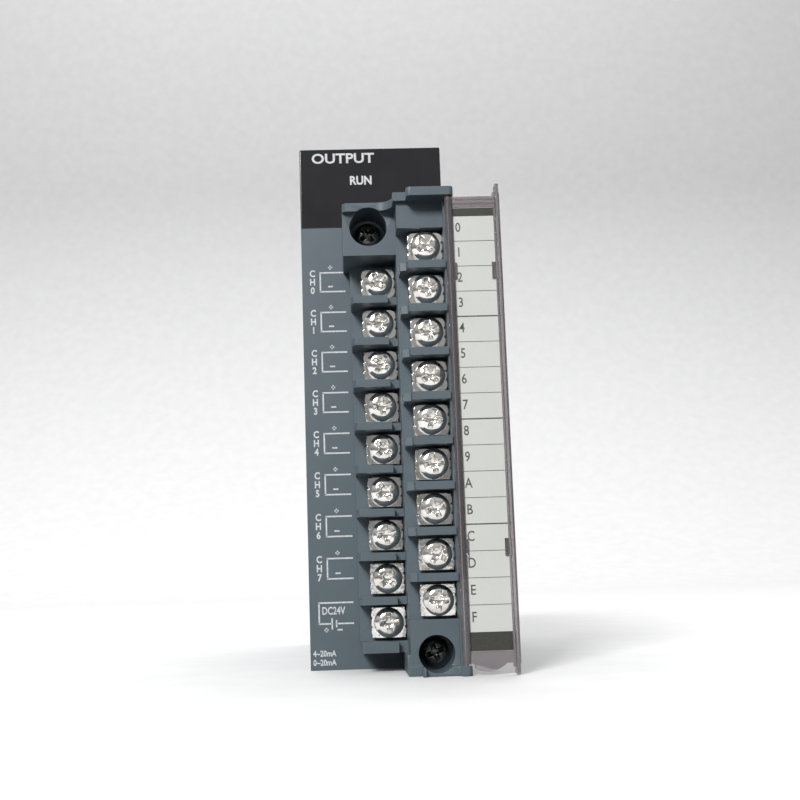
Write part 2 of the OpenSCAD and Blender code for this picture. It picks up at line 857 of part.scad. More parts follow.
module terminal_cover() {
    panel_back = hinge_h - cover_t;
    rib_t = 0.45;
    color([0.7, 0.68, 0.68, 0.45]) {
        difference() {
            union() {
                rise(hinge_x, cover_edge, panel_back, hinge_h, cover_low, cover_top);
                translate([hinge_x, front(hinge_h), cover_low])
                    cylinder(d = knuckle_d, h = cover_top - cover_low);
                // rim along the free edge, lower where it passes the end plates
                rise(cover_edge - rim_t, cover_edge, panel_back, hinge_h + rim_h, cover_low,
                    cover_top);
                rise(cover_edge - rim_t, cover_edge, panel_back, hinge_h + rim_end_h,
                    block_low + 0.1, block_top + 0.1);
                rise(cover_edge - rim_t - 0.3, cover_edge, panel_back, hinge_h,
                    cover_low - 0.7, cover_top + 0.8);
                // stiffening ribs across the top end
                for (z = [cover_top - rib_t, cover_top - 2.5 * rib_t]) {
                    rise(hinge_x + 0.6, cover_edge - eps, panel_back, hinge_h + 0.45, z, z + rib_t);
                }
                // thumb tab
                intersection() {
                    post(tab_x, cover_low + 3.1, 2 * tab_r, panel_back, hinge_h);
                    rise(hinge_x + tab_clip, cover_edge, panel_back, hinge_h, block_low + 0.1,
                        cover_low + 1);
                }
                translate([hinge_x, front(hinge_h), block_low + 0.2])
                    cylinder(d = hinge_pin_d, h = block_top - block_low - 0.4);
            }
            // shallow bed for the paper strip
            rise(hinge_x + bed_inset, cover_edge - rim_t - 0.15, hinge_h - paper_t - 0.05,
                hinge_h + eps, cover_low + 1.8, cover_top - 1.7);
        }
        // small tabs that hold the strip in its bed
        for (x = [hinge_x + 0.1, cover_edge - rim_t - holder_w], z = holder_z) {
            rise(x, x + holder_w, hinge_h + 0.02, hinge_h + holder_top, z - holder_half,
                z + holder_half);
        }
        for (x = [hinge_x + 0.1, cover_edge - rim_t - 0.15], z = holder_z) {
            rise(x, x + 0.25, hinge_h - 0.05, hinge_h + holder_top, z - holder_half,
                z + holder_half);
        }
    }
}

module label_strip() {
    color(paper_white) rise(hinge_x + bed_inset + 0.1, cover_edge - rim_t - 0.25,
        hinge_h - paper_t - 0.02, hinge_h - 0.02, cover_low + 1.95, cover_top - 1.85);
}

rear_case();
front_bezel();
head_window();
led_light_pipe();
run_led();
rating_label();
release_lever();
lever_pin();
lever_spring();
backplane_connector();
backplane_contacts();
main_board();
analog_board();
interface_board();
board_header();
board_spacers();
board_screws();
dc_dc_converter();
capacitors();
controller_chip();
output_chips();
optocouplers();
terminal_socket();
socket_pins();
threaded_inserts();
terminal_block_housing();
block_base();
terminal_plates_left();
terminal_plates_right();
clamp_washers_left();
clamp_washers_right();
terminal_screws_left();
terminal_screws_right();
upper_mounting_screw();
lower_mounting_screw();
screw_retaining_rings();
terminal_cover();
label_strip();
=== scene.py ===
"""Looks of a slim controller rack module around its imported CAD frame.

The CAD parts keep their shape and get softened edges and procedural finishes. The screws
are replaced by detailed ones, and the printing on the face, window and label strip is
added as thin solids. Units are metres, in the frame's own axes: the front looks along -Y.
"""

import math
import random

import bmesh
import bpy
from mathutils import Matrix, Vector


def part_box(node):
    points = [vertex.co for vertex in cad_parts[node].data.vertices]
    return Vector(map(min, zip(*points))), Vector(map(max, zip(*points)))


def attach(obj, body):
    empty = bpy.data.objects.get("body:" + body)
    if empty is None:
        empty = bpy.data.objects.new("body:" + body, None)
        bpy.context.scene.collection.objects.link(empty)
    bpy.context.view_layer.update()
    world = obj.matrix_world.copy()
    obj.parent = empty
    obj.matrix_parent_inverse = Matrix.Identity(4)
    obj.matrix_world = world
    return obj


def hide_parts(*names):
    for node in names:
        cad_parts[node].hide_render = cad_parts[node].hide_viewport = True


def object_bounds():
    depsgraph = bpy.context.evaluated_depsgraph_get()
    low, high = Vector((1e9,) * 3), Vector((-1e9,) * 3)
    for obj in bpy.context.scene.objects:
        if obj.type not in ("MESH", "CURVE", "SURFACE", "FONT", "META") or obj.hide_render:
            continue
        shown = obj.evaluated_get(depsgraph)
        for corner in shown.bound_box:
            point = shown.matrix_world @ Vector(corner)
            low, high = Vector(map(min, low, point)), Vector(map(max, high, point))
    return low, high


MM = 0.001

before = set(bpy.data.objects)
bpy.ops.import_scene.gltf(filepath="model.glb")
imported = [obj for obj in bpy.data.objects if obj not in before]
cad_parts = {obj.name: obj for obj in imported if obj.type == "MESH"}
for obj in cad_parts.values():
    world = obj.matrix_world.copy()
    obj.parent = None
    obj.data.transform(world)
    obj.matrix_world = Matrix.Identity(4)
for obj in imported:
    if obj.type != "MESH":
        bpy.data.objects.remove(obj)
CAD_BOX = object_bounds()


# ---------------------------------------------------------------- finishes


class Finish:
    """One procedural material: a Principled shader and the nodes that drive it."""

    def __init__(self, name, **values):
        self.material = bpy.data.materials.new(name)
        self.material.use_nodes = True
        self.tree = self.material.node_tree
        self.shader = self.tree.nodes["Principled BSDF"]
        self.place = self.add("ShaderNodeTexCoord").outputs["Object"]
        self.bumps = []
        for socket, value in values.items():
            self.shader.inputs[socket.replace("_", " ")].default_value = value

    def add(self, kind, inputs=None, **settings):
        node = self.tree.nodes.new(kind)
        for key, value in settings.items():
            setattr(node, key, value)
        for key, value in (inputs or {}).items():
            if isinstance(value, bpy.types.NodeSocket):
                self.tree.links.new(value, node.inputs[key])
            else:
                node.inputs[key].default_value = value
        return node

    def drive(self, socket, source):
        self.tree.links.new(source, self.shader.inputs[socket])

    def noise(self, size, detail=3.0, stretch=(1, 1, 1)):
        """Noise with features about `size` across, drawn out along an axis by `stretch`."""
        scale = [1 / (size * s) for s in stretch]
        mapped = self.add("ShaderNodeMapping", {"Vector": self.place, "Scale": scale})
        noise = self.add(
            "ShaderNodeTexNoise",
            {"Vector": mapped.outputs[0], "Scale": 1.0, "Detail": detail},
        )
        return noise.outputs[0]

    def spread(self, source, low, high, start=0.3, end=0.7):
        """Maps the middle of a noise onto the range low to high."""
        ranged = self.add(
            "ShaderNodeMapRange",
            {
                "Value": source,
                "From Min": start,
                "From Max": end,
                "To Min": low,
                "To Max": high,
            },
        )
        return ranged.outputs[0]

    def blend(self, factor, one, two):
        mix = self.add("ShaderNodeMix", data_type="RGBA")
        for index, value in ((0, factor), (6, one), (7, two)):
            if isinstance(value, bpy.types.NodeSocket):
                self.tree.links.new(value, mix.inputs[index])
            else:
                mix.inputs[index].default_value = value
        return mix.outputs[2]

    def edges(self, radius, low=0.02, high=0.22):
        """1 along convex and concave edges within `radius`, 0 on open faces."""
        rounded = self.add("ShaderNodeBevel", {"Radius": radius}, samples=4).outputs[0]
        plain = self.add("ShaderNodeNewGeometry").outputs["Normal"]
        dot = self.add(
            "ShaderNodeVectorMath", {0: rounded, 1: plain}, operation="DOT_PRODUCT"
        ).outputs["Value"]
        bend = self.add("ShaderNodeMath", {0: 1.0, 1: dot}, operation="SUBTRACT")
        return self.spread(bend.outputs[0], 0.0, 1.0, low, high)

    def bump(self, height, depth):
        """Adds relief; several reliefs are chained."""
        inputs = {"Height": height, "Distance": depth, "Strength": 1.0}
        if self.bumps:
            inputs["Normal"] = self.bumps[-1]
        self.bumps.append(self.add("ShaderNodeBump", inputs).outputs[0])
        self.drive("Normal", self.bumps[-1])


def rgb(red, green, blue):
    return (red, green, blue, 1.0)


def tint(colour, gain):
    return rgb(*(min(1.0, c * gain) for c in colour[:3]))


def moulded(name, colour, rough, grain=0.25 * MM, depth=0.006 * MM, worn=1.0, **values):
    """Moulded plastic: spark-eroded grain, slow mottling, light dust, and edges mixed
    lighter as wear and painted highlight.
    """
    f = Finish(name, **values)
    mottle = f.spread(f.noise(9 * MM, 5.0), 0.0, 1.0)
    base = f.blend(mottle, tint(colour, 0.96), tint(colour, 1.04))
    speck = f.spread(f.noise(0.5 * MM, 2.0), 0.0, 1.0, 0.62, 0.8)
    base = f.blend(speck, base, tint(colour, 1.18))
    # worn sets how much lighter the edges are mixed: partly edge wear, partly a painted
    # highlight
    if worn > 1.0:
        base = f.blend(f.edges(0.22 * MM), base, tint(colour, worn))
    f.drive("Base Color", base)
    f.drive("Roughness", f.spread(f.noise(4 * MM), rough - 0.06, rough + 0.07))
    f.bump(f.noise(grain, 2.0), depth)
    return f.material


def window_black():
    """Smoked black window: semi-gloss, faint wipe marks and a slight waviness."""
    colour = rgb(0.014, 0.014, 0.016)
    f = Finish("window_black", IOR=1.49)
    haze = f.spread(f.noise(7 * MM, 6.0), 0.0, 1.0)
    f.drive("Base Color", f.blend(haze, tint(colour, 0.85), tint(colour, 1.25)))
    wipe = f.noise(2.5 * MM, 4.0, stretch=(3, 1, 1))
    f.drive("Roughness", f.spread(wipe, 0.14, 0.17))
    f.bump(f.noise(9 * MM, 1.0), 0.006 * MM)
    f.bump(f.noise(0.2 * MM, 2.0), 0.0015 * MM)
    return f.material


def clear_cover():
    """Clear smoky moulding, slightly pink, with hairline scratches and handling haze."""
    colour = rgb(0.40, 0.365, 0.38)
    f = Finish("cover_clear", IOR=1.49, Transmission_Weight=0.80)
    haze = f.spread(f.noise(6 * MM, 4.0), 0.0, 1.0)
    f.drive("Base Color", f.blend(haze, tint(colour, 0.95), tint(colour, 1.04)))
    scratch = f.noise(0.15 * MM, 2.0, stretch=(1, 1, 40))
    f.drive("Roughness", f.spread(scratch, 0.05, 0.22, 0.45, 0.8))
    f.bump(f.noise(4 * MM, 1.0), 0.02 * MM)
    return f.material


def paper(name, colour):
    """Uncoated card: fibres in colour and relief."""
    f = Finish(name)
    fibre = f.noise(0.25 * MM, 5.0, stretch=(1, 1, 3))
    cloud = f.spread(f.noise(12 * MM), 0.0, 1.0)
    base = f.blend(cloud, tint(colour, 0.975), tint(colour, 1.02))
    flecks = f.spread(fibre, 0.0, 0.5, 0.55, 0.8)
    f.drive("Base Color", f.blend(flecks, base, tint(colour, 0.9)))
    f.drive("Roughness", f.spread(fibre, 0.78, 0.92))
    f.bump(fibre, 0.004 * MM)
    return f.material


def ink(name, colour, worn):
    """Screen-printed ink: slightly uneven cover, thinner in places."""
    f = Finish(name)
    patch = f.spread(f.noise(0.35 * MM, 4.0), 0.0, 1.0, 0.35, 0.75)
    f.drive("Base Color", f.blend(patch, colour, worn))
    f.drive("Roughness", f.spread(patch, 0.42, 0.62))
    f.bump(f.noise(0.12 * MM, 2.0), 0.002 * MM)
    return f.material


def plated(name, colour, rough, stain, scratch_depth=0.0012 * MM, **values):
    """Plated metal: tarnish clouds, fine scratches and tool marks."""
    f = Finish(name, Metallic=1.0, **values)
    cloud = f.spread(f.noise(1.6 * MM, 5.0), 0.0, 1.0, 0.35, 0.75)
    f.drive("Base Color", f.blend(cloud, colour, stain))
    marks = f.noise(0.09 * MM, 3.0, stretch=(1, 1, 9))
    f.drive("Roughness", f.spread(marks, rough * 0.7, rough * 1.5))
    f.bump(marks, scratch_depth)
    f.bump(f.noise(0.7 * MM, 2.0), 0.016 * MM)
    return f.material


def black_screw():
    """Glossy black plated screw, with a painted highlight: lighter grey along its edges."""
    f = Finish("screw_black", Coat_Weight=0.6, Coat_Roughness=0.12, IOR=1.6)
    cloud = f.spread(f.noise(0.8 * MM, 4.0), 0.0, 1.0)
    base = f.blend(cloud, rgb(0.006, 0.006, 0.007), rgb(0.016, 0.016, 0.018))
    # painted highlight: edges and recess rims are mixed to a lighter grey
    f.drive("Base Color", f.blend(f.edges(0.08 * MM), base, rgb(0.05, 0.05, 0.052)))
    f.drive("Roughness", f.spread(f.noise(0.3 * MM, 3.0), 0.14, 0.34))
    f.bump(f.noise(0.5 * MM, 2.0), 0.006 * MM)
    return f.material


def solder_mask():
    """Green board: traces under the mask show as lighter, raised lines."""
    f = Finish("circuit_board", IOR=1.5)
    swapped = f.add(
        "ShaderNodeMapping", {"Vector": f.place, "Rotation": (0.0, math.pi / 2, 0.0)}
    )
    brick = f.add(
        "ShaderNodeTexBrick",
        {
            "Vector": swapped.outputs[0],
            "Color1": rgb(0.012, 0.10, 0.035),
            "Color2": rgb(0.018, 0.14, 0.05),
            "Mortar": rgb(0.03, 0.24, 0.09),
            "Scale": 1.0,
            "Mortar Size": 0.22 * MM,
            "Brick Width": 6 * MM,
            "Row Height": 1.9 * MM,
        },
    )
    f.drive("Base Color", brick.outputs["Color"])
    f.drive("Roughness", f.spread(f.noise(2 * MM), 0.25, 0.4))
    f.bump(brick.outputs["Fac"], 0.02 * MM)
    return f.material


GREY = rgb(0.101, 0.133, 0.156)
# worn: gain of the lighter edges, partly wear and partly painted highlight
HOUSING = moulded("housing_grey", GREY, 0.46, worn=1.35)
BASE = moulded("base_grey", tint(GREY, 0.5), 0.5, worn=1.3)
WINDOW = window_black()
COVER = clear_cover()
CARD = paper("label_paper", rgb(0.76, 0.775, 0.73))
NICKEL = plated("nickel", rgb(0.86, 0.85, 0.83), 0.12, rgb(0.64, 0.61, 0.56))
STEEL = plated("plated_steel", rgb(0.62, 0.63, 0.64), 0.28, rgb(0.48, 0.48, 0.50))
BRASS = plated("contact_brass", rgb(0.78, 0.56, 0.24), 0.22, rgb(0.60, 0.40, 0.16))
BLACK_SCREW = black_screw()
BOARD = solder_mask()
BLACK = moulded("black_plastic", rgb(0.020, 0.020, 0.022), 0.42, worn=1.8)
CHIP = moulded("chip_black", rgb(0.017, 0.017, 0.019), 0.55, grain=0.12 * MM)
CREAM = moulded("optocoupler_white", rgb(0.68, 0.67, 0.61), 0.5)
LENS = moulded(
    "led_lens", rgb(0.62, 0.70, 0.52), 0.25, depth=0.002 * MM, Transmission_Weight=0.4
)
LIGHT_PIPE = moulded(
    "light_pipe", rgb(0.78, 0.82, 0.79), 0.12, depth=0.001 * MM, Transmission_Weight=0.7
)
CAN = plated("capacitor_sleeve", rgb(0.60, 0.61, 0.63), 0.32, rgb(0.50, 0.51, 0.54))
WHITE_INK = ink("print_white", rgb(0.84, 0.86, 0.87), rgb(0.55, 0.58, 0.60))
DARK_INK = ink("print_olive", rgb(0.034, 0.036, 0.028), rgb(0.055, 0.057, 0.047))
GREY_INK = ink("print_grey", rgb(0.06, 0.062, 0.06), rgb(0.17, 0.175, 0.17))

# CAD node: its finish, and the radius in mm that its edges are softened to
NODE_LOOKS = {
    "rear_case": (HOUSING, 0.3),
    "front_bezel": (HOUSING, 0.3),
    "head_window": (WINDOW, 0.3),
    "led_light_pipe": (LIGHT_PIPE, 0.1),
    "run_led": (LENS, 0.0),
    "rating_label": (CARD, 0.0),
    "release_lever": (HOUSING, 0.15),
    "lever_pin": (STEEL, 0.15),
    "lever_spring": (STEEL, 0.0),
    "backplane_connector": (BLACK, 0.15),
    "backplane_contacts": (BRASS, 0.06),
    "main_board": (BOARD, 0.08),
    "analog_board": (BOARD, 0.08),
    "interface_board": (BOARD, 0.08),
    "board_header": (BLACK, 0.15),
    "board_spacers": (BRASS, 0.12),
    "board_screws": (STEEL, 0.15),
    "dc_dc_converter": (CHIP, 0.25),
    "capacitors": (CAN, 0.3),
    "controller_chip": (CHIP, 0.12),
    "output_chips": (CHIP, 0.12),
    "optocouplers": (CREAM, 0.15),
    "terminal_socket": (BLACK, 0.12),
    "socket_pins": (BRASS, 0.06),
    "threaded_inserts": (BRASS, 0.12),
    "terminal_block_housing": (HOUSING, 0.14),
    "block_base": (BASE, 0.12),
    "terminal_plates_left": (NICKEL, 0.1),
    "terminal_plates_right": (NICKEL, 0.1),
    "clamp_washers_left": (NICKEL, 0.2),
    "clamp_washers_right": (NICKEL, 0.2),
    "screw_retaining_rings": (STEEL, 0.06),
    "terminal_cover": (COVER, 0.12),
    "label_strip": (CARD, 0.0),
}


# ---------------------------------------------------------------- modifiers


def smoothing_group(limit):
    """Geometry nodes that shade smooth across edges flatter than `limit`."""
    tree = bpy.data.node_groups.new("smooth_by_angle", "GeometryNodeTree")
    for way in ("INPUT", "OUTPUT"):
        tree.interface.new_socket(
            "Geometry", in_out=way, socket_type="NodeSocketGeometry"
        )
    start = tree.nodes.new("NodeGroupInput")
    end = tree.nodes.new("NodeGroupOutput")
    faces = tree.nodes.new("GeometryNodeSetShadeSmooth")
    sharp = tree.nodes.new("GeometryNodeSetShadeSmooth")
    sharp.domain = "EDGE"
    angle = tree.nodes.new("GeometryNodeInputMeshEdgeAngle")
    steep = tree.nodes.new("FunctionNodeCompare")
    steep.operation = "GREATER_THAN"
    steep.inputs["B"].default_value = limit
    sharp.inputs["Shade Smooth"].default_value = False
    tree.links.new(start.outputs[0], faces.inputs["Geometry"])
    tree.links.new(faces.outputs[0], sharp.inputs["Geometry"])
    tree.links.new(angle.outputs["Unsigned Angle"], steep.inputs["A"])
    tree.links.new(steep.outputs[0], sharp.inputs["Selection"])
    tree.links.new(sharp.outputs[0], end.inputs[0])
    return tree


SMOOTH = smoothing_group(math.radians(38))
FLAT_ANGLE = math.radians(0.5)
EDGE_ANGLE = math.radians(40)
WELD_GAP = 0.0005 * MM
# Nodes whose large faces run in and out between ribs or holes. Their faces with more
# than MOST_CORNERS corners are split before the edges are rounded.
MOST_CORNERS = 8
COMBED = {
    "rear_case",
    "front_bezel",
    "release_lever",
    "main_board",
    "analog_board",
    "interface_board",
    "terminal_socket",
    "terminal_block_housing",
    "block_base",
    "terminal_plates_left",
    "terminal_plates_right",
    "terminal_cover",
}


def soften(obj, radius):
    """Joins split vertices, clears coplanar triangles, rounds the edges and smooths."""
    obj.modifiers.new("weld", "WELD").merge_threshold = WELD_GAP
    if radius:
        planar = obj.modifiers.new("planar", "DECIMATE")
        planar.decimate_type = "DISSOLVE"
        planar.angle_limit = FLAT_ANGLE
        if obj.name in COMBED:
            split = obj.modifiers.new("split", "TRIANGULATE")
            split.min_vertices = MOST_CORNERS + 1
        bevel = obj.modifiers.new("edges", "BEVEL")
        bevel.width = radius * MM
        bevel.segments = 2
        bevel.limit_method = "ANGLE"
        bevel.angle_limit = EDGE_ANGLE
        bevel.miter_outer = "MITER_ARC"
    obj.modifiers.new("smooth", "NODES").node_group = SMOOTH
    if radius:
        weighted = obj.modifiers.new("weighted", "WEIGHTED_NORMAL")
        weighted.keep_sharp = True


def paint(obj, *finishes):
    obj.data.materials.clear()
    for finish in finishes:
        obj.data.materials.append(finish)


for node, (finish, radius) in NODE_LOOKS.items():
    paint(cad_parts[node], finish)
    soften(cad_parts[node], radius)


# ---------------------------------------------------------------- mesh helpers


def piece(name, shape, body, slot, *finishes):
    """Turns a bmesh into a named object of the model that rides on a body."""
    mesh = bpy.data.meshes.new(name)
    bmesh.ops.recalc_face_normals(shape, faces=shape.faces)
    shape.to_mesh(mesh)
    shape.free()
    obj = bpy.data.objects.new(name, mesh)
    bpy.context.scene.collection.objects.link(obj)
    paint(obj, *finishes)
    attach(obj, body)
    return obj


def slab(shape, lo, hi):
    """A closed box from corner lo to corner hi."""
    place = Matrix.Translation((Vector(lo) + Vector(hi)) / 2)
    size = Matrix.Diagonal((*(b - a for a, b in zip(lo, hi)), 1.0))
    bmesh.ops.create_cube(shape, size=1.0, matrix=place @ size)


def revolve(shape, profile, segments):
    """A closed solid of revolution about Z; the profile runs from axis to axis."""
    rings = []
    for radius, height in profile:
        count = segments if radius > 0 else 1
        rings.append(
            [
                shape.verts.new(
                    (
                        radius * math.cos(math.tau * k / segments),
                        radius * math.sin(math.tau * k / segments),
                        height,
                    )
                )
                for k in range(count)
            ]
        )
    for one, two in zip(rings, rings[1:]):
        for k in range(segments):
            after = (k + 1) % segments
            corners = [
                one[k % len(one)],
                one[after % len(one)],
                two[after % len(two)],
                two[k % len(two)],
            ]
            shape.faces.new(list(dict.fromkeys(corners)))


def loft(shape, outlines):
    """Joins equal outlines of 3-D points into a closed solid."""
    rings = [[shape.verts.new(p) for p in outline] for outline in outlines]
    for one, two in zip(rings, rings[1:]):
        for k in range(len(one)):
            after = (k + 1) % len(one)
            shape.faces.new((one[k], one[after], two[after], two[k]))
    shape.faces.new(list(reversed(rings[0])))
    shape.faces.new(rings[-1])


def evaluated(obj):
    """The mesh of obj with its modifiers applied."""
    graph = bpy.context.evaluated_depsgraph_get()
    return bpy.data.meshes.new_from_object(obj.evaluated_get(graph))


def carved(solid, cutter):
    """Mesh of solid minus cutter, both bmeshes."""
    made = []
    for name, shape in (("solid", solid), ("cutter", cutter)):
        mesh = bpy.data.meshes.new(name)
        bmesh.ops.recalc_face_normals(shape, faces=shape.faces)
        shape.to_mesh(mesh)
        shape.free()
        obj = bpy.data.objects.new(name, mesh)
        bpy.context.scene.collection.objects.link(obj)
        made.append(obj)
    cut = made[0].modifiers.new("carve", "BOOLEAN")
    cut.operation = "DIFFERENCE"
    cut.solver = "EXACT"
    cut.object = made[1]
    result = evaluated(made[0])
    for obj in made:
        bpy.data.objects.remove(obj)
    return result


# ---------------------------------------------------------------- screws

SCREW_SEGMENTS = 56
SCREW_EDGE_ANGLE = math.radians(42)
SCREW_EDGE = 0.05 * MM
THREAD_R = 1.5 * MM
THREAD_PITCH = 0.5 * MM
THREAD_ROOT = 0.86
CROWN_STEPS = 7
HEAD_CHAMFER = 0.12 * MM
# cross recess from its mouth down: arm length and half width as shares of the head's
# radius, and depth in mm below the crown
RECESS = ((0.73, 0.20, -0.2), (0.67, 0.18, 0.1), (0.42, 0.13, 1.25), (0.22, 0.10, 1.5))


def cross(reach, half, height):
    """Outline of a cross with arms `reach` long and 2 x half wide."""
    points = []
    for quarter in range(4):
        turn = Matrix.Rotation(quarter * math.pi / 2, 3, "Z")
        for x, y in ((reach, -half), (reach, half), (half, half)):
            points.append(turn @ Vector((x, y, height)))
    return points


def screw_mesh(head_r, head_t, shank_r, shank_len):
    """A cross-recessed pan-head screw, underside of the head at 0, head towards +Z."""
    rim = 0.42 * head_t
    tip = 0.35 * MM
    neck = 0.3 * MM
    body = bmesh.new()
    profile = [(0, -shank_len), (shank_r * 0.7, -shank_len)]
    turns = int((shank_len - 1.2 * MM) / THREAD_PITCH)
    for k in range(turns):
        z = -shank_len + tip + k * THREAD_PITCH
        profile += [(shank_r * THREAD_ROOT, z), (shank_r, z + 0.5 * THREAD_PITCH)]
    profile += [
        (shank_r, -neck),
        (shank_r, 0),
        (head_r - HEAD_CHAMFER, 0),
        (head_r, HEAD_CHAMFER),
        (head_r, rim),
    ]
    for k in range(1, CROWN_STEPS):
        a = k / CROWN_STEPS * math.pi / 2
        radius = head_r * (0.52 + 0.48 * math.cos(a))
        profile.append((radius, rim + (head_t - rim) * math.sin(a) * 0.94))
    profile += [(0.40 * head_r, head_t), (0, head_t)]
    revolve(body, profile, SCREW_SEGMENTS)
    recess = bmesh.new()
    outlines = [
        cross(reach * head_r, half * head_r, head_t - depth * MM)
        for reach, half, depth in RECESS
    ]
    loft(recess, outlines)
    return carved(body, recess)


def facing_front(x, y, z, turn):
    """Places a screw made along +Z so that its head looks along -Y."""
    return (
        Matrix.Translation((x, y, z))
        @ Matrix.Rotation(math.pi / 2, 4, "X")
        @ Matrix.Rotation(turn, 4, "Z")
    )


def screw_group(name, node, count, head_t, body, slot, finish, turns):
    """Screws in one column, from the CAD node's box, one piece in place of the node."""
    lo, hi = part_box(node)
    head_d = hi.x - lo.x
    underside = lo.y + head_t
    pitch = (hi.z - lo.z - head_d) / max(count - 1, 1)
    single = screw_mesh(head_d / 2, head_t, THREAD_R, hi.y - underside)
    shape = bmesh.new()
    for row in range(count):
        z = hi.z - head_d / 2 - row * pitch
        copy = single.copy()
        copy.transform(facing_front((lo.x + hi.x) / 2, underside, z, turns[row]))
        shape.from_mesh(copy)
    obj = piece(name, shape, body, slot, finish)
    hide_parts(node)
    bevel = obj.modifiers.new("edges", "BEVEL")
    bevel.width = SCREW_EDGE
    bevel.segments = 2
    bevel.limit_method = "ANGLE"
    bevel.angle_limit = SCREW_EDGE_ANGLE
    obj.modifiers.new("smooth", "NODES").node_group = SMOOTH


ROWS = 9
HEAD_T = 2.2 * MM
CAPTIVE_HEAD_T = 2.3 * MM
dice = random.Random(7)
for side in ("left", "right"):
    screw_group(
        f"tightened_screws_{side}",
        f"terminal_screws_{side}",
        ROWS,
        HEAD_T,
        "terminal_block",
        "nickel",
        NICKEL,
        [dice.uniform(0, math.pi / 2) for _ in range(ROWS)],
    )
for end, turn in (("upper", math.radians(38)), ("lower", math.radians(20))):
    screw_group(
        f"captive_screw_{end}",
        f"{end}_mounting_screw",
        1,
        CAPTIVE_HEAD_T,
        f"{end}_screw",
        "screw_black",
        BLACK_SCREW,
        [turn],
    )


# ---------------------------------------------------------------- printing

INK_SUNK = 0.01 * MM
INK_PROUD = 0.02 * MM


def cap_share():
    """Height of a capital letter at text size 1, in the built-in font."""
    curve = bpy.data.curves.new("probe", "FONT")
    curve.body = "H"
    holder = bpy.data.objects.new("probe", curve)
    bpy.context.scene.collection.objects.link(holder)
    height = max(v.co.y for v in evaluated(holder).vertices)
    bpy.data.objects.remove(holder)
    return height


CAP_SHARE = cap_share()


def letter(shape, text, x, z, front, height, bold=0.0, squeeze=0.85, align="CENTER"):
    """Adds a word as thin solids on a plane that faces -Y; (x, z) is its middle line."""
    curve = bpy.data.curves.new("word", "FONT")
    curve.body = text
    curve.size = height / CAP_SHARE
    curve.extrude = (INK_SUNK + INK_PROUD) / 2
    curve.offset = bold * height
    curve.resolution_u = 3
    curve.align_x = align
    holder = bpy.data.objects.new("word", curve)
    bpy.context.scene.collection.objects.link(holder)
    mesh = evaluated(holder)
    bpy.data.objects.remove(holder)
    middle = Matrix.Translation((0, -height / 2, 0))
    narrow = Matrix.Diagonal((squeeze, 1, 1, 1))
    upright = Matrix.Rotation(math.pi / 2, 4, "X")
    depth = front + (INK_SUNK - INK_PROUD) / 2
    mesh.transform(Matrix.Translation((x, depth, z)) @ upright @ narrow @ middle)
    shape.from_mesh(mesh)


def stroke(shape, x0, x1, z0, z1, front):
    slab(shape, (x0, front - INK_PROUD, z0), (x1, front + INK_SUNK, z1))


def finished_print(name, shape, body, slot, finish):
    bmesh.ops.remove_doubles(shape, verts=shape.verts, dist=WELD_GAP)
    return piece(name, shape, body, slot, finish)


FACE_LO, FACE_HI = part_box("front_bezel")
WINDOW_LO, WINDOW_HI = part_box("head_window")
SCREWS_LO, SCREWS_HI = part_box("terminal_screws_left")
BLOCK_LO, BLOCK_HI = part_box("terminal_block_housing")
LINE = 0.28 * MM
PLUS = 0.8 * MM
MINUS = 0.95 * MM


def channel_marks(shape, index, top, left, front):
    """One channel: bracket, polarity signs and the upright CH figure beside it."""
    right = BLOCK_LO.x + 0.35 * MM
    drop = 3.66 * MM
    row_step = 1.64 * MM
    stroke(shape, left, right, top - LINE / 2, top + LINE / 2, front)
    stroke(shape, left, right, top - drop - LINE / 2, top - drop + LINE / 2, front)
    stroke(shape, left, left + LINE, top - drop, top, front)
    sign_x = left + 2.05 * MM
    plus(shape, sign_x, top + 1.0 * MM, PLUS, front)
    minus(shape, sign_x, top - 2.68 * MM, MINUS, front)
    for row, char in enumerate(f"CH{index}"):
        z = top - 0.12 * MM - row * row_step
        letter(shape, char, left - 1.32 * MM, z, front, 1.2 * MM, bold=0.05)


def plus(shape, x, z, size, front):
    minus(shape, x, z, size, front)
    stroke(shape, x - LINE / 2, x + LINE / 2, z - size / 2, z + size / 2, front)


def minus(shape, x, z, size, front):
    stroke(shape, x - size / 2, x + size / 2, z - LINE / 2, z + LINE / 2, front)


def supply_marks(shape, left, top, front):
    """The supply terminals: a cell symbol under the voltage."""
    right = BLOCK_LO.x + 0.2 * MM
    low = top - 3.75 * MM
    tall_x = left + 2.45 * MM
    short_x = tall_x + 0.8 * MM
    stroke(shape, left, right, top - LINE / 2, top + LINE / 2, front)
    stroke(shape, left, left + LINE, low, top, front)
    stroke(shape, left, tall_x, low - LINE / 2, low + LINE / 2, front)
    stroke(shape, short_x, right, low - LINE / 2, low + LINE / 2, front)
    stroke(shape, tall_x - LINE / 2, tall_x + LINE / 2, low - MM, low + MM, front)
    half = 0.65 * MM
    stroke(shape, short_x - LINE / 2, short_x + LINE / 2, low - half, low + half, front)
    sign_z = low - 1.1 * MM
    plus(shape, left + 1.4 * MM, sign_z, PLUS, front)
    minus(shape, left + 3.85 * MM, sign_z, MINUS, front)
    word_x = left + 2.75 * MM
    word_z = top - 1.42 * MM
    letter(shape, "DC24V", word_x, word_z, front, 1.3 * MM, bold=0.03, squeeze=0.72)


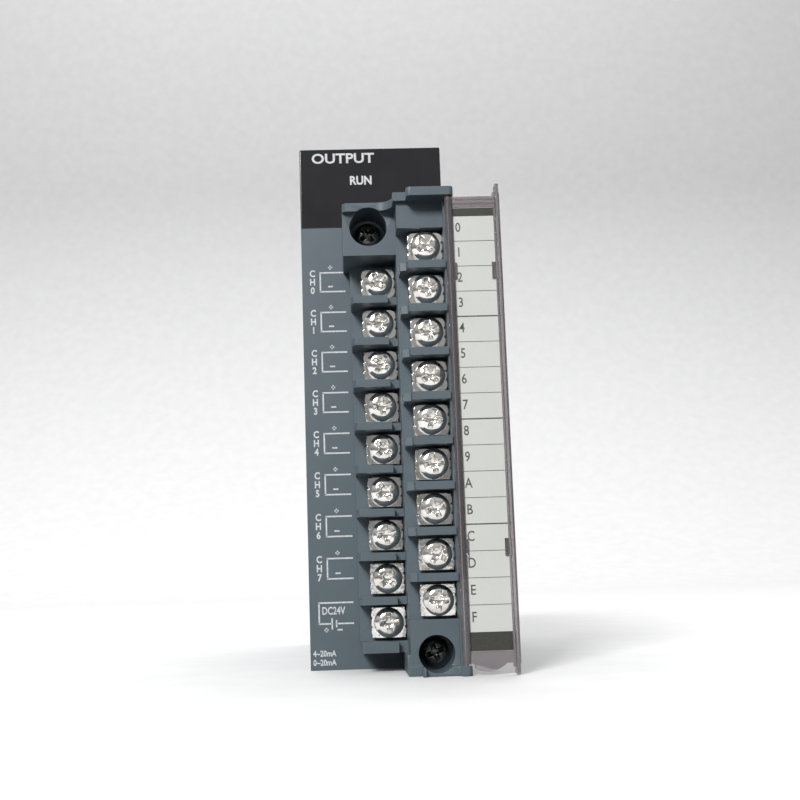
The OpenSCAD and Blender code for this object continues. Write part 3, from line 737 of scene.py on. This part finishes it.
def face_legend():
    """The white print on the grey face: channels, supply and output ranges."""
    channels = 8
    channel_pitch = 7.66 * MM
    shape = bmesh.new()
    front = FACE_LO.y
    left = FACE_LO.x + 3.3 * MM
    top_row = SCREWS_HI.z - (SCREWS_HI.x - SCREWS_LO.x) / 2
    first = top_row + 4.18 * MM
    for index in range(channels):
        channel_marks(shape, index, first - index * channel_pitch, left, front)
    supply_marks(shape, FACE_LO.x + 1.6 * MM, FACE_LO.z + 12.0 * MM, front)
    x = FACE_LO.x + 0.5 * MM
    for row, text in enumerate(("4~20mA", "0~20mA")):
        z = FACE_LO.z + 3.0 * MM - row * 1.6 * MM
        letter(shape, text, x, z, front, MM, bold=0.04, squeeze=0.8, align="LEFT")
    finished_print("face_legend", shape, "module", "label_paper", WHITE_INK)


def window_legend():
    """The kind of module and the lamp's word, on the black window."""
    shape = bmesh.new()
    left, top, front = WINDOW_LO.x, WINDOW_HI.z, WINDOW_LO.y
    title = left + 2.3 * MM, top - 1.9 * MM, front, 1.85 * MM
    letter(shape, "OUTPUT", *title, bold=0.035, squeeze=1.12, align="LEFT")
    lamp_word = left + 11.65 * MM, top - 6.35 * MM, front, 1.6 * MM
    letter(shape, "RUN", *lamp_word, bold=0.05, squeeze=0.88)
    finished_print("window_legend", shape, "module", "label_paper", WHITE_INK)


def strip_print():
    """Bands, cell lines and figures on the paper strip in the cover."""
    lo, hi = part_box("label_strip")
    top_band = 1.5 * MM
    low_band = 3.1 * MM
    edge = 0.05 * MM
    thick, thin = 0.11 * MM, 0.05 * MM
    cells = 16
    cell = (hi.z - top_band - (lo.z + low_band)) / cells
    bands = bmesh.new()
    stroke(bands, lo.x, hi.x, hi.z - top_band, hi.z - edge, lo.y)
    stroke(bands, lo.x, hi.x, lo.z + edge, lo.z + low_band, lo.y)
    finished_print("strip_bands", bands, "cover", "label_paper", DARK_INK)
    figures = bmesh.new()
    for index in range(cells):
        z = hi.z - top_band - (index + 0.44) * cell
        place = lo.x + 1.0 * MM, z, lo.y, 1.6 * MM
        letter(figures, f"{index:X}", *place, bold=0.015, squeeze=0.8)
        if index:
            half = thin if index % 4 else thick
            line = hi.z - top_band - index * cell
            stroke(figures, lo.x, hi.x, line - half, line + half, lo.y)
    finished_print("strip_figures", figures, "cover", "label_paper", GREY_INK)


def side_label_print():
    """A plain ruled table on the side label; its wording is left out."""
    lo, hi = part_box("rating_label")
    shape = bmesh.new()
    skin = (hi.x - INK_SUNK, hi.x + INK_PROUD)
    margin = 1.5 * MM
    half = 0.08 * MM
    y0, y1 = lo.y + margin, hi.y - margin
    z0, z1 = lo.z + margin, hi.z - margin
    rows = 9
    for row in range(rows + 1):
        z = z0 + (z1 - z0) * row / rows
        slab(shape, (skin[0], y0, z - half), (skin[1], y1, z + half))
    for share in (0.0, 0.42, 1.0):
        y = y0 + (y1 - y0) * share
        slab(shape, (skin[0], y - half, z0), (skin[1], y + half, z1))
    piece("side_label_rules", shape, "module", "label_paper", GREY_INK)


face_legend()
window_legend()
strip_print()
side_label_print()


# ---------------------------------------------------------------- studio


def sweep():
    """Pale seamless floor that curves up into a wall behind the object."""
    floor = CAD_BOX[0].z
    near, far, half_width = -5.0, 0.7, 4.5
    radius, wall = 0.6, 2.4
    steps = 24
    path = [(near, floor), (far, floor)]
    for k in range(1, steps + 1):
        a = k / steps * math.pi / 2
        path.append((far + radius * math.sin(a), floor + radius * (1 - math.cos(a))))
    path.append((far + radius, floor + wall))
    shape = bmesh.new()
    sides = (-half_width, half_width)
    rows = [[shape.verts.new((x, y, z)) for x in sides] for y, z in path]
    for one, two in zip(rows, rows[1:]):
        shape.faces.new((one[0], one[1], two[1], two[0])).smooth = True
    mesh = bpy.data.meshes.new("studio_sweep")
    shape.to_mesh(mesh)
    shape.free()
    obj = bpy.data.objects.new("studio_sweep", mesh)
    bpy.context.scene.collection.objects.link(obj)
    paint(obj, paper("sweep_paper", rgb(0.90, 0.90, 0.90)))
    obj.visible_diffuse = False  # no light bounced up from the floor


def area_light(name, place, size, power):
    """A soft square light that looks at the middle of the object."""
    light = bpy.data.lights.new(name, "AREA")
    light.size = size
    light.energy = power
    obj = bpy.data.objects.new(name, light)
    bpy.context.scene.collection.objects.link(obj)
    target = (CAD_BOX[0] + CAD_BOX[1]) / 2
    obj.location = place
    obj.rotation_euler = (target - Vector(place)).to_track_quat("-Z", "Y").to_euler()


def daylight(strength):
    """Pale air above, dark below, so that undersides stay in deep shade."""
    world = bpy.data.worlds.new("studio_air")
    bpy.context.scene.world = world
    world.use_nodes = True
    tree = world.node_tree
    coords = tree.nodes.new("ShaderNodeTexCoord")
    parts = tree.nodes.new("ShaderNodeSeparateXYZ")
    ranged = tree.nodes.new("ShaderNodeMapRange")
    tree.links.new(coords.outputs["Generated"], parts.inputs[0])
    tree.links.new(parts.outputs["Z"], ranged.inputs["Value"])
    for socket, value in (("From Min", -0.1), ("From Max", 0.35), ("To Max", 1.0)):
        ranged.inputs[socket].default_value = value
    sky = tree.nodes["Background"]
    sky.inputs["Strength"].default_value = strength
    colour = tree.nodes.new("ShaderNodeMix")
    colour.data_type = "RGBA"
    colour.inputs[6].default_value = rgb(0.03, 0.03, 0.035)
    colour.inputs[7].default_value = rgb(1.0, 1.0, 1.0)
    tree.links.new(ranged.outputs[0], colour.inputs[0])
    tree.links.new(colour.outputs[2], sky.inputs["Color"])


def camera():
    """The photograph's standpoint: close, low, a little to the left of the face.

    The eye and the point looked at are measured from the middle of the printed face.
    """
    middle = Vector(((FACE_LO.x + FACE_HI.x) / 2, FACE_LO.y, 0.0))
    eye = middle + Vector((-7.0, -202.4, -32.9)) * MM
    aim = middle + Vector((-1.9, 0, -5.2)) * MM
    roll = math.radians(-1.74)
    data = bpy.data.cameras.new("camera")
    data.lens = 49.6
    data.sensor_width = 36.0
    data.shift_x = 0.040
    data.shift_y = 0.035
    data.clip_start = 0.01
    obj = bpy.data.objects.new("camera", data)
    bpy.context.scene.collection.objects.link(obj)
    level = (aim - eye).to_track_quat("-Z", "Y").to_matrix()
    turned = level @ Matrix.Rotation(roll, 3, "Z")
    obj.matrix_world = Matrix.Translation(eye) @ turned.to_4x4()
    bpy.context.scene.camera = obj


sweep()
daylight(0.5)
area_light("key_light", (-0.70, -1.65, 0.98), 0.5, 32)
area_light("back_light", (0.0, 0.9, 1.6), 1.4, 20)
camera()
bpy.context.scene.view_settings.view_transform = "Standard"
